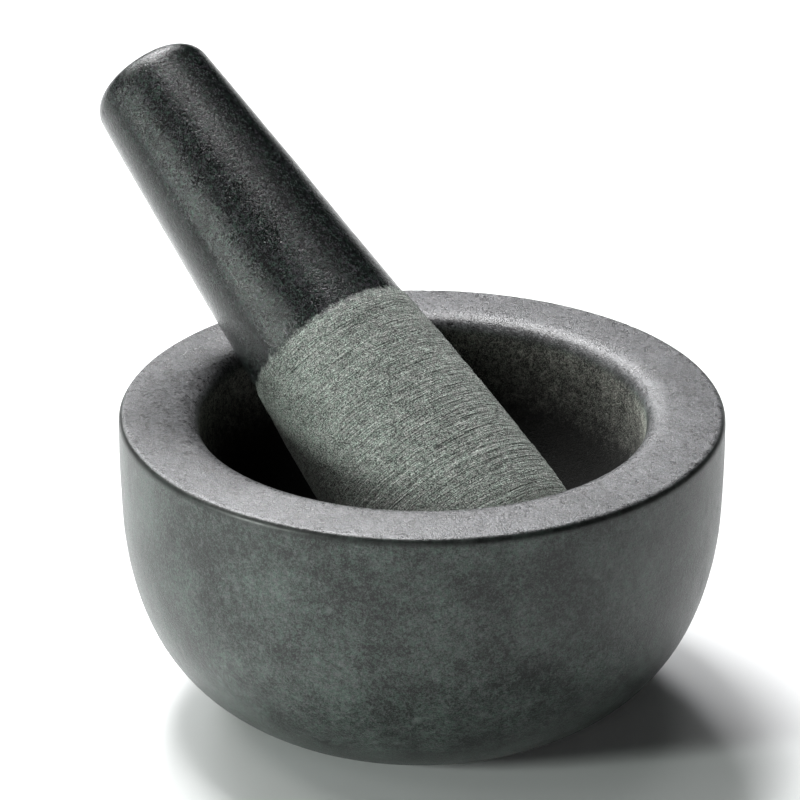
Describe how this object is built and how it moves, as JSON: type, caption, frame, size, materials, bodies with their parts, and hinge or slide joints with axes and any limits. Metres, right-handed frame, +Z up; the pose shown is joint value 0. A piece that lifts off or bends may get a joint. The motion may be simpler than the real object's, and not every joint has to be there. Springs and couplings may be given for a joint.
{
  "type": "stone mortar and pestle",
  "caption": "Round thick-walled stone mortar with a flat rim, and a tapered stone pestle with a polished handle and a coarse grinding head, resting in it.",
  "frame": {"origin": "centre of the mortar's flat base, on the surface it stands on", "axes": "+Z up through the middle of the mortar; seen from -Y the pestle's handle points up to the back left"},
  "size_m": [0.1485, 0.151, 0.1388],
  "materials": {
    "mortar_stone": "honed, fine grain",
    "pestle_stone": "polished handle, coarse turned head"
  },
  "bodies": {
    "mortar": {"mortar": "mortar_stone"},
    "pestle": {"pestle": "pestle_stone"}
  },
  "joints": [
    {"name": "pestle_lift", "type": "slide", "parent": "mortar", "child": "pestle", "axis": [0, 0, 1], "range_m": [0, 0.1]}
  ]
}
